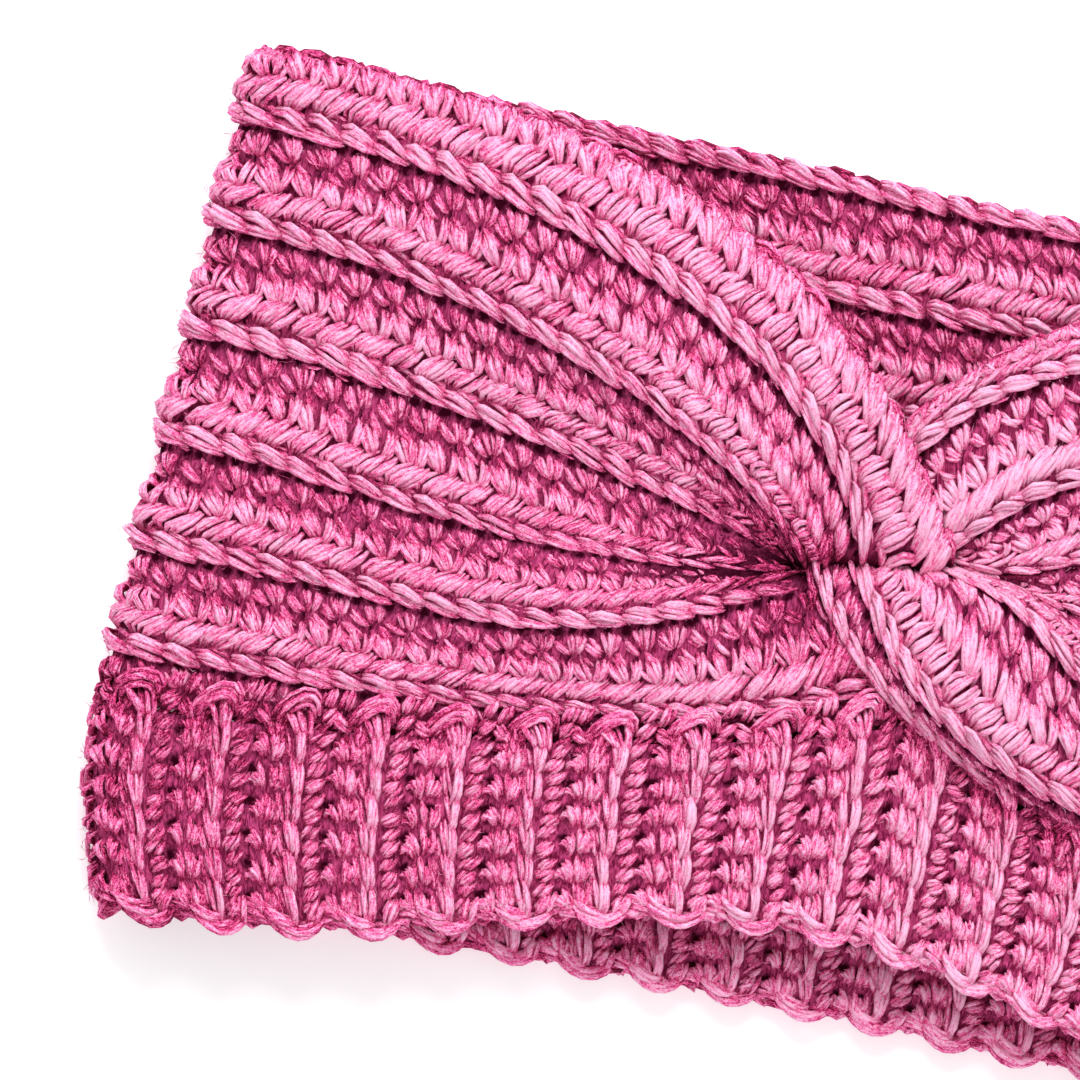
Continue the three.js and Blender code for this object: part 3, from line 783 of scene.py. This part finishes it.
CUFF_TOP_FANS = {
    "crown": (6, 0.44, 0.2,
        [(-6.8, -0.35), (-4.9, -1.05), (-1.6, -1.52), (1.4, -1.35), (2.6, -0.55)],
        [(-4.2, -0.35), (-3.0, -0.72), (-1.3, -1.0), (0.3, -0.95), (1.1, -0.5)],
        [0.6, 2.3, 2.9, 2.6, 0.8]),
    "neck": (5, 0.5, 0.2,
        [(-4.4, -0.8), (-3.6, -0.6), (-2.7, -0.4), (-1.8, -0.15), (-1.0, 0.1)],
        [(0.6, -1.15), (1.0, -0.75), (1.2, -0.4), (1.0, -0.05), (0.7, 0.25)],
        [1.4, 2.1, 2.5, 2.6, 0.8]),
    "leaf_left": (3, 0.46, 0.2,
        [(2.7, -1.0), (2.6, -1.2), (2.7, -1.4), (3.0, -1.55), (3.4, -1.7)],
        [(4.5, -0.95), (4.8, -1.15), (4.9, -1.35), (4.8, -1.5), (4.5, -1.65)],
        [0.5, 2.0, 2.5, 2.0, 0.5]),
    "leaf_right": (3, 0.46, 0.2,
        [(5.4, -0.95), (5.5, -1.15), (5.6, -1.35), (5.9, -1.55), (6.3, -1.72)],
        [(7.3, -0.95), (7.6, -1.15), (7.7, -1.35), (7.6, -1.55), (7.3, -1.7)],
        [0.5, 2.0, 2.5, 2.0, 0.5]),
    "under_left_leaf": (3, 0.44, 0.2,
        [(2.2, -0.45), (2.4, -0.6), (2.8, -0.75), (3.3, -0.88), (3.8, -1.0)],
        [(3.6, -0.25), (4.1, -0.42), (4.6, -0.58), (5.0, -0.75), (5.3, -0.92)],
        [0.4, 1.7, 2.1, 1.7, 0.4]),
    "under_right_leaf": (4, 0.44, 0.2,
        [(5.2, -0.9), (5.9, -0.85), (6.6, -0.75), (7.3, -0.62), (7.9, -0.5)],
        [(4.8, -0.45), (5.5, -0.35), (6.3, -0.28), (7.1, -0.25), (7.9, -0.25)],
        [0.4, 1.9, 2.3, 1.9, 0.4]),
}
# The rows between the crowns, sunk under the band's edge.
SEAM_ROWS, SEAM_SUNK = np.array([-0.85, -0.4]), 0.9
SEAM_FANS = {
    name: (*fan[:5], [height - SEAM_SUNK for height in fan[5]])
    for name, fan in CUFF_FANS.items()
    if name in ("bump_left", "bump_right", "slant")
}
CUFF_EDGE_FANS = {
    "foot_low": (4, 0.52, 0.3,
        [(-5.6, -0.25), (-3.4, 0.2), (-0.4, 0.4), (2.6, 0.3), (5.0, -0.1)],
        [(-5.0, 0.15), (-2.8, 0.55), (0.2, 0.78), (3.2, 0.62), (5.4, 0.2)],
        [0.3, 1.6, 2.0, 1.6, 0.3]),
    "foot_high": (3, 0.5, 0.2,
        [(-5.9, -0.45), (-4.4, -0.2), (-2.6, 0.0), (-0.8, 0.1), (0.8, 0.05)],
        [(-5.4, -0.05), (-3.8, 0.2), (-2.0, 0.38), (-0.2, 0.42), (1.4, 0.3)],
        [0.4, 2.0, 2.5, 2.2, 0.9]),
    "foot_right": (3, 0.48, 0.2,
        [(2.2, 0.4), (2.4, 0.15), (2.7, -0.1), (3.1, -0.3), (3.5, -0.45)],
        [(4.4, 0.4), (4.8, 0.15), (5.1, -0.08), (5.3, -0.28), (5.4, -0.45)],
        [0.5, 1.8, 2.3, 1.8, 0.5]),
    "foot_loop": (4, 0.48, 0.2,
        [(4.9, -0.4), (5.9, -0.35), (7.0, -0.3), (8.0, -0.25), (9.0, -0.3)],
        [(5.0, 0.2), (6.0, 0.12), (7.0, 0.1), (8.0, 0.14), (9.0, 0.2)],
        [0.3, 1.5, 1.8, 1.5, 0.3]),
}
# Between its two faces the cuff's lower edge is closed by plies that slant from the inner face to
# the outer one.
CUFF_RIM_FANS = {
    "rim_left": (4, 0.6, 0.0,
        [(-0.6, 0.16), (1.2, 0.22), (3.2, 0.24), (5.2, 0.22), (7.2, 0.16)],
        [(-0.6, 0.16), (1.2, 0.22), (3.2, 0.24), (5.2, 0.22), (7.2, 0.16)],
        [-1.1, -0.9, -0.6, -0.4, -0.2],
        [0.2, 0.5, 0.8, 1.0, 1.1]),
    "rim_right": (4, 0.6, 0.0,
        [(6.2, 0.16), (8.0, 0.22), (10.0, 0.24), (12.0, 0.22), (14.0, 0.16)],
        [(6.2, 0.16), (8.0, 0.22), (10.0, 0.24), (12.0, 0.22), (14.0, 0.16)],
        [-1.1, -0.9, -0.6, -0.4, -0.2],
        [0.2, 0.5, 0.8, 1.0, 1.1]),
}
RIM_SHADE = -0.8  # below 0, because the rim's colour is that of yarn in the light


def cuff_plies(rib, face, rows, fans, form, rng, shade=CUFF_SHADE):
    """Plies of one rib of the cuff, from the chain to the next one to its right."""
    made, points = [], len(form[0])
    chain = (rib + (0.5 if face > 0 else 0.0)) / CUFF_RIBS * LOOP
    for fan in fans.values():
        lines, cell, radii = fan_plies(fan, rows, rng, CUFF_SPREAD, form)
        line = along_curve(lines, form[0])
        way = chain + face * line[:, :, 0]
        down = (cell[:, None] + line[:, :, 1]) / CUFF_STITCHES
        keep = down[:, points // 2] < LOWEST_PLY
        way, down, line, radii = way[keep], down[keep], line[keep], radii[keep]
        rows_down, columns = (down - DOWN[0]) / (DOWN[1] - DOWN[0]), (np.mod(way, LOOP) + LAP) / STEP
        place = patch(CUFF, rows_down, columns, "place")
        out = face * patch(CUFF, rows_down, columns, "out")
        height = line[:, :, 2]
        # Painted light near the twist and painted shade near the side folds, more of both than on the band.
        painted_light_here = painted_light_gradient(place[..., 0])
        # Painted shadow cast by the right panel's free edge onto the cuff's top.
        below = np.clip(1 - down / FOLD_DEEP, 0, 1)
        below = below * np.clip((place[..., 0] - FOLD_FROM) / FOLD_OVER, 0, 1)
        shade_here = shade + FOLD_SHADE * below + (INSIDE_SHADE if face < 0 else 0)
        shaded = height - shade_here + np.minimum(CUFF_LIGHT_GAIN * painted_light_here, CUFF_SHADE_GAIN * painted_light_here)
        made.append((place + out * height[..., None], out, radii, shaded, rng.random(len(radii))))
    return made


fine, coarse, inside, loops, edges, coarse_edges = [], [], [], [], [], []
rng = np.random.default_rng(200)
crown_fan = {"crown": CUFF_TOP_FANS["crown"]}
beside_crown = {name: fan for name, fan in CUFF_TOP_FANS.items() if name != "crown"}
scallop_fans = {name: fan for name, fan in CUFF_EDGE_FANS.items() if name != "foot_right"}
beside_scallop = {"foot_right": CUFF_EDGE_FANS["foot_right"]}
top, middle_rows = np.array([0.0]), np.arange(6.0)
foot, hidden_foot = np.array([5.7]), np.array([5.4])
FRONT_END = 0.56  # share of the loop from the left fold over the front to past the right fold
INSIDE_SEEN = 3  # rows inside the back from which they show below the front's edge
for rib in range(CUFF_RIBS):
    for face in (1, -1):
        on_front = (rib + (0.5 if face > 0 else 0.0)) / CUFF_RIBS < FRONT_END
        if on_front == (face > 0):
            seen_rows = middle_rows if face > 0 else middle_rows[INSIDE_SEEN:]
            fine += cuff_plies(rib, face, seen_rows, CUFF_FANS, FINE, rng)
            inside += cuff_plies(rib, face, middle_rows[: 6 - len(seen_rows)], CUFF_FANS, HIDDEN, rng)
            loops += cuff_plies(rib, face, foot, scallop_fans, CURVED, rng)
            edges += cuff_plies(rib, face, foot, beside_scallop, FINE, rng)
        else:
            rows, form = (coarse, COARSE) if face > 0 else (inside, HIDDEN)
            rows += cuff_plies(rib, face, middle_rows, CUFF_FANS, form, rng)
            coarse_edges += cuff_plies(rib, face, hidden_foot, CUFF_EDGE_FANS, COARSE, rng)
        if face > 0 and on_front:
            edges += cuff_plies(rib, face, SEAM_ROWS, SEAM_FANS, FINE, rng, SEAM_SHADE)
            loops += cuff_plies(rib, face, top, crown_fan, CURVED, rng, CROWN_SHADE)
            edges += cuff_plies(rib, face, top, beside_crown, FINE, rng, SEAM_SHADE)
        else:
            coarse_edges += cuff_plies(rib, face, top, CUFF_TOP_FANS, COARSE, rng)
plies_object("cuff_front", *joined(fine), FINE)
plies_object("cuff_back", *joined(coarse), COARSE)
plies_object("cuff_inside", *joined(inside), HIDDEN)
plies_object("cuff_front_loops", *joined(loops), CURVED)
plies_object("cuff_front_edges", *joined(edges), FINE)
plies_object("cuff_back_edges", *joined(coarse_edges), COARSE)
fuzz_object("cuff_fuzz", joined(fine), 5000, np.random.default_rng(250))
rim, rng = [], np.random.default_rng(260)
for rib in range(CUFF_RIBS):
    rim += cuff_plies(rib, 1, foot, CUFF_RIM_FANS, COARSE, rng, RIM_SHADE)
plies_object("cuff_rim", *joined(rim), COARSE)


# The heart of the fabric. Under the visible loops the stitches close up into a mass, coloured as yarn
# in painted shade, which shows only through the small holes between them. The yarn pieces are worked on it.
def heart_material(name, cell, spots):
    """Fuzzy yarn in painted shade, with painted shadow in holes at spots of every stitch, and more
    painted shade where its crease attribute says. The map counts stitches. cell is the size of a stitch
    in millimetres, and a spot is its place in it and its radius."""
    material = bpy.data.materials.new(name)
    material.use_nodes = True
    tree = material.node_tree
    nodes, links = tree.nodes, tree.links
    where = nodes.new("ShaderNodeTexCoord")

    def noise(scale, detail):
        made = nodes.new("ShaderNodeTexNoise")
        made.inputs["Scale"].default_value = scale
        made.inputs["Detail"].default_value = detail
        links.new(where.outputs["Object"], made.inputs["Vector"])
        return made

    # Painted shade: the colour of the yarn lying in shade under the loops.
    shade = nodes.new("ShaderNodeValToRGB")
    low, high = shade.color_ramp.elements
    low.position, low.color = 0.38, (0.16, 0.009, 0.045, 1)
    high.position, high.color = 0.66, (0.56, 0.07, 0.22, 1)
    strands = nodes.new("ShaderNodeMapping")
    strands.inputs["Rotation"].default_value = (0, 0, -0.45)
    strands.inputs["Scale"].default_value = (1.7 * cell[0], 0.5 * cell[1], 1)
    links.new(where.outputs["UV"], strands.inputs["Vector"])
    streaks = nodes.new("ShaderNodeTexNoise")
    streaks.inputs["Scale"].default_value = 1.0
    streaks.inputs["Detail"].default_value = 2.0
    streaks.inputs["Distortion"].default_value = 1.2
    links.new(strands.outputs[0], streaks.inputs["Vector"])
    links.new(streaks.outputs["Fac"], shade.inputs["Fac"])
    inside = nodes.new("ShaderNodeVectorMath")
    inside.operation = "FRACTION"
    shifted = where.outputs["UV"]
    strays = ((260, 1.6), (1100, 1.5))
    drift = sum(reach for _, reach in strays) / 2  # the noise's middle value is a half
    for scale, reach in strays:
        stray = nodes.new("ShaderNodeVectorMath")
        stray.operation = "MULTIPLY_ADD"
        stray.inputs[1].default_value = (reach / cell[0], reach / cell[1], 0)
        links.new(noise(scale, 1.0).outputs["Color"], stray.inputs[0])
        links.new(shifted, stray.inputs[2])
        shifted = stray.outputs[0]
    links.new(shifted, inside.inputs[0])
    sized = nodes.new("ShaderNodeVectorMath")
    sized.operation = "MULTIPLY"
    sized.inputs[1].default_value = (*cell, 0)
    links.new(inside.outputs[0], sized.inputs[0])
    # Painted shade at creases and where rows crowd, then painted shadow in the holes, all drawn towards the
    # near black below.
    crease = nodes.new("ShaderNodeAttribute")
    crease.attribute_name = "crease"
    hole = crease.outputs["Fac"]
    for x, y, radius in spots:
        away = nodes.new("ShaderNodeVectorMath")
        away.operation = "DISTANCE"
        away.inputs[1].default_value = (x + drift, y + drift, 0)
        links.new(sized.outputs[0], away.inputs[0])
        edge = nodes.new("ShaderNodeMapRange")
        edge.inputs["From Min"].default_value = 0.5 * radius
        edge.inputs["From Max"].default_value = 1.5 * radius
        edge.inputs["To Min"].default_value = 1
        edge.inputs["To Max"].default_value = 0
        links.new(away.outputs["Value"], edge.inputs["Value"])
        hole = node_chain(tree, "MAXIMUM", (), {0: hole, 1: edge.outputs["Result"]})
    mix = nodes.new("ShaderNodeMix")
    mix.data_type = "RGBA"
    factor, under, over = (mix.inputs[k] for k in (0, 6, 7))  # of the colour form of the node
    links.new(hole, factor)
    links.new(shade.outputs["Color"], under)
    over.default_value = (0.03, 0.0015, 0.008, 1)
    shader = nodes["Principled BSDF"]
    links.new(mix.outputs[2], shader.inputs["Base Color"])
    shader.inputs["Roughness"].default_value = 1.0
    shader.inputs["Specular IOR Level"].default_value = 0.0
    bump = nodes.new("ShaderNodeBump")
    bump.inputs["Strength"].default_value = 0.8
    bump.inputs["Distance"].default_value = 0.0006
    links.new(streaks.outputs["Fac"], bump.inputs["Height"])
    links.new(bump.outputs["Normal"], shader.inputs["Normal"])
    return material


band_heart_yarn = heart_material(
    "band yarn in the shade",
    (STITCH, RIB),
    [
        (0.09 * STITCH, 2.5, 1.3),
        (0.55 * STITCH, 2.3, 0.9),
        (0.8 * STITCH, 7.4, 1.2),
        (0.72 * STITCH, 16.4, 0.9),
    ],
)
CUFF_ROW = 5.6  # millimetres of cuff from one stitch down to the next
cuff_heart_yarn = heart_material(
    "cuff yarn in the shade",
    (LOOP / CUFF_RIBS, CUFF_ROW),
    [(6.1, 0.22 * CUFF_ROW, 1.1), (2.9, 0.8 * CUFF_ROW, 0.8), (10.0, 0.2 * CUFF_ROW, 0.8)],
)
HEART = 1.25  # millimetres from the middle of the fabric to the heart's faces


def shell(name, node, place, out, wave, closed, maps, creased, material):
    """A closed shell round a grid of places, its rows running the way the fabric does. maps gives
    the place in stitches on the outer face and on the inner one, creased how dark its painted shade is
    at creases and where the rows crowd."""
    rows, columns, _ = place.shape
    outer = place + out * (HEART + wave)[..., None]
    inner = place - out * (HEART - wave)[..., None]
    ring = np.concatenate([outer, inner[::-1]], axis=0)
    table = np.concatenate([maps[0], maps[1][::-1]], axis=0)
    made = bmesh.new()
    layer = made.loops.layers.uv.new("stitches")
    verts = [
        [made.verts.new((ring[r, c] - np.array([0, MIDDLE_Y, 0])) * MM) for r in range(2 * rows)]
        for c in range(columns)
    ]
    for c in range(columns if closed else columns - 1):
        here, there = verts[c], verts[(c + 1) % columns]
        for r in range(2 * rows):
            r2 = (r + 1) % (2 * rows)
            face = made.faces.new((here[r], there[r], there[r2], here[r2]))
            for loop, (row, column) in zip(face.loops, ((r, c), (r, c + 1), (r2, c + 1), (r2, c))):
                loop[layer].uv = table[row, column]
    if not closed:
        for end in (verts[0], verts[-1]):
            for r in range(rows - 1):
                made.faces.new((end[r], end[r + 1], end[2 * rows - 2 - r], end[2 * rows - 1 - r]))
    bmesh.ops.recalc_face_normals(made, faces=made.faces)
    mesh = bpy.data.meshes.new(name)
    made.to_mesh(mesh)
    made.free()
    attribute = mesh.attributes.new("crease", "FLOAT", "POINT")
    darkness = np.concatenate([creased, creased[::-1]], axis=0).T
    attribute.data.foreach_set("value", darkness.ravel().astype(np.float32))
    mesh.polygons.foreach_set("use_smooth", np.ones(len(mesh.polygons), bool))
    mesh.materials.append(material)
    piece = bpy.data.objects.new(name, mesh)
    bpy.context.collection.objects.link(piece)
    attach(piece, "root")
    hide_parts(node)
    return piece


HEART_WAVE = 0.3


def ribbed(share, ribs):
    return HEART_WAVE * np.clip(2 * np.cos(2 * math.pi * (share * ribs + 0.5)), -1, 1)


def stitch_map(along, down):
    """Map of a grid from its stitches along, by row and column, and its rows of stitches down."""
    return np.stack(np.broadcast_arrays(along, down), axis=-1)


HEART_ACROSS, HEART_DOWN = (-0.006, 1.012), (-0.035, 0.905)  # how far the hearts reach, as shares
HEART_COLUMNS, CUFF_COLUMNS = 56, 190
# The heart's painted shade deepens as the rows crowd: from this share of their room, how fast, and at
# most. At the right it keeps only a share of that and of its painted shade in the crease.
HEART_CLOSED, DARKENING, DARKEST, DARK_AT_RIGHT = 0.6, 2.2, 0.85, 0.3
across = np.linspace(*HEART_ACROSS, 37)
halves, outer_along, inner_along, creases = [], [], [], []
for side in (-1, 1):
    grid = FABRIC[side]
    lengths = np.interp(across, ACROSS, grid["length"])
    s = np.linspace(0, 1, HEART_COLUMNS)[None, :] * lengths[:, None]
    rows = np.repeat(((across - ACROSS[0]) / (ACROSS[1] - ACROSS[0]))[:, None], HEART_COLUMNS, axis=1)
    place, out = patch(grid, rows, s / STEP, "place"), patch(grid, rows, s / STEP, "out")
    wave = np.repeat(ribbed(across, BAND_RIBS)[:, None], HEART_COLUMNS, axis=1)
    halves.append((place, out, wave))
    closed = 1 - patch(grid, rows, s / STEP, "crowd") / HEART_CLOSED
    at_end = np.clip(1 - (lengths[:, None] - s) / CREASE, 0, 1)
    dark = np.maximum(at_end, np.clip(DARKENING * closed, 0, DARKEST))
    creases.append(dark * (1 if side < 0 else DARK_AT_RIGHT))
    outer_along.append(-side * s / STITCH)
    inner_along.append(side * s / STITCH)
(left, left_out, left_wave), (right, right_out, right_wave) = halves
band_heart = shell(
    "band_heart",
    "band",
    np.concatenate([left[:, :0:-1], right], axis=1),
    np.concatenate([left_out[:, :0:-1], right_out], axis=1),
    np.concatenate([left_wave[:, :0:-1], right_wave], axis=1),
    False,
    [
        stitch_map(
            np.concatenate([on_left[:, :0:-1], on_right], axis=1),
            (across * BAND_RIBS - lag)[:, None],
        )
        for (on_left, on_right), lag in ((outer_along, 0.5), (inner_along, 0.0))
    ],
    np.concatenate([creases[0][:, :0:-1], creases[1]], axis=1),
    band_heart_yarn,
)
ways = np.arange(0, CUFF_COLUMNS) / CUFF_COLUMNS * LOOP
down = np.linspace(*HEART_DOWN, 8)
rows = np.repeat(((down - DOWN[0]) / (DOWN[1] - DOWN[0]))[:, None], len(ways), axis=1)
columns = np.repeat(((ways + LAP) / STEP)[None, :], len(down), axis=0)
cuff_heart = shell(
    "cuff_heart",
    "cuff",
    patch(CUFF, rows, columns, "place"),
    patch(CUFF, rows, columns, "out"),
    np.repeat(ribbed(ways / LOOP, CUFF_RIBS)[None, :], len(down), axis=0),
    True,
    [
        stitch_map(round_it[None, :], CUFF_STITCHES * down[:, None])
        for round_it in (
            np.arange(0, CUFF_COLUMNS + 1) / CUFF_COLUMNS * CUFF_RIBS - 0.5,
            -np.arange(0, CUFF_COLUMNS + 1) / CUFF_COLUMNS * CUFF_RIBS,
        )
    ],
    np.zeros((len(down), len(ways))),
    cuff_heart_yarn,
)

# The room. A white table under soft white light, brightest from beyond the top edge of the
# picture. The camera looks straight down, turned so that the band slopes down to the right.
PICTURE = 1080
PIXEL = 0.172  # millimetres on the table for each pixel of the picture
SLOPE = math.radians(11.5)
AIM = Vector((-57.5 * MM, 2.9 * MM, 12 * MM))
CAMERA_HEIGHT = 1.4
bpy.ops.object.select_all(action="DESELECT")
bpy.ops.mesh.primitive_plane_add(size=6, location=(0, 0, -0.0002))
table = bpy.context.object
table.name = "table"
white = bpy.data.materials.new("white table")
white.use_nodes = True
paint = white.node_tree.nodes["Principled BSDF"]
paint.inputs["Base Color"].default_value = (0.97, 0.97, 0.98, 1)
paint.inputs["Roughness"].default_value = 0.9
paint.inputs["Emission Color"].default_value = (1, 1, 1, 1)
paint.inputs["Emission Strength"].default_value = 0.2
table.data.materials.append(white)


def lamp(name, place, size, power):
    """A round lamp, size metres across, turned to the middle of the picture."""
    data = bpy.data.lights.new(name, "AREA")
    data.shape, data.size, data.energy = "DISK", size, power
    light = bpy.data.objects.new(name, data)
    bpy.context.collection.objects.link(light)
    light.location = place
    light.rotation_euler = (AIM - Vector(place)).to_track_quat("-Z", "Y").to_euler()


lamp("window", (-0.2, 1.0, 1.0), 0.8, 18.2)
lamp("fill", (0.8, -0.7, 1.3), 1.0, 5)
world = bpy.data.worlds.new("white room")
world.use_nodes = True
sky = world.node_tree.nodes["Background"]
sky.inputs["Color"].default_value = (1, 1, 1, 1)
sky.inputs["Strength"].default_value = 0.74
bpy.context.scene.world = world
bpy.context.scene.view_settings.view_transform = "Standard"

camera_data = bpy.data.cameras.new("camera")
camera_data.sensor_width = 36
camera_data.lens = camera_data.sensor_width * CAMERA_HEIGHT / (PICTURE * PIXEL * MM)
camera = bpy.data.objects.new("camera", camera_data)
bpy.context.collection.objects.link(camera)
right = Vector((math.cos(SLOPE), math.sin(SLOPE), 0))
upward = Vector((-math.sin(SLOPE), math.cos(SLOPE), 0))
turn = Matrix((right, upward, Vector((0, 0, 1)))).transposed().to_4x4()
camera.matrix_world = Matrix.Translation(AIM + Vector((0, 0, CAMERA_HEIGHT))) @ turn
bpy.context.scene.camera = camera
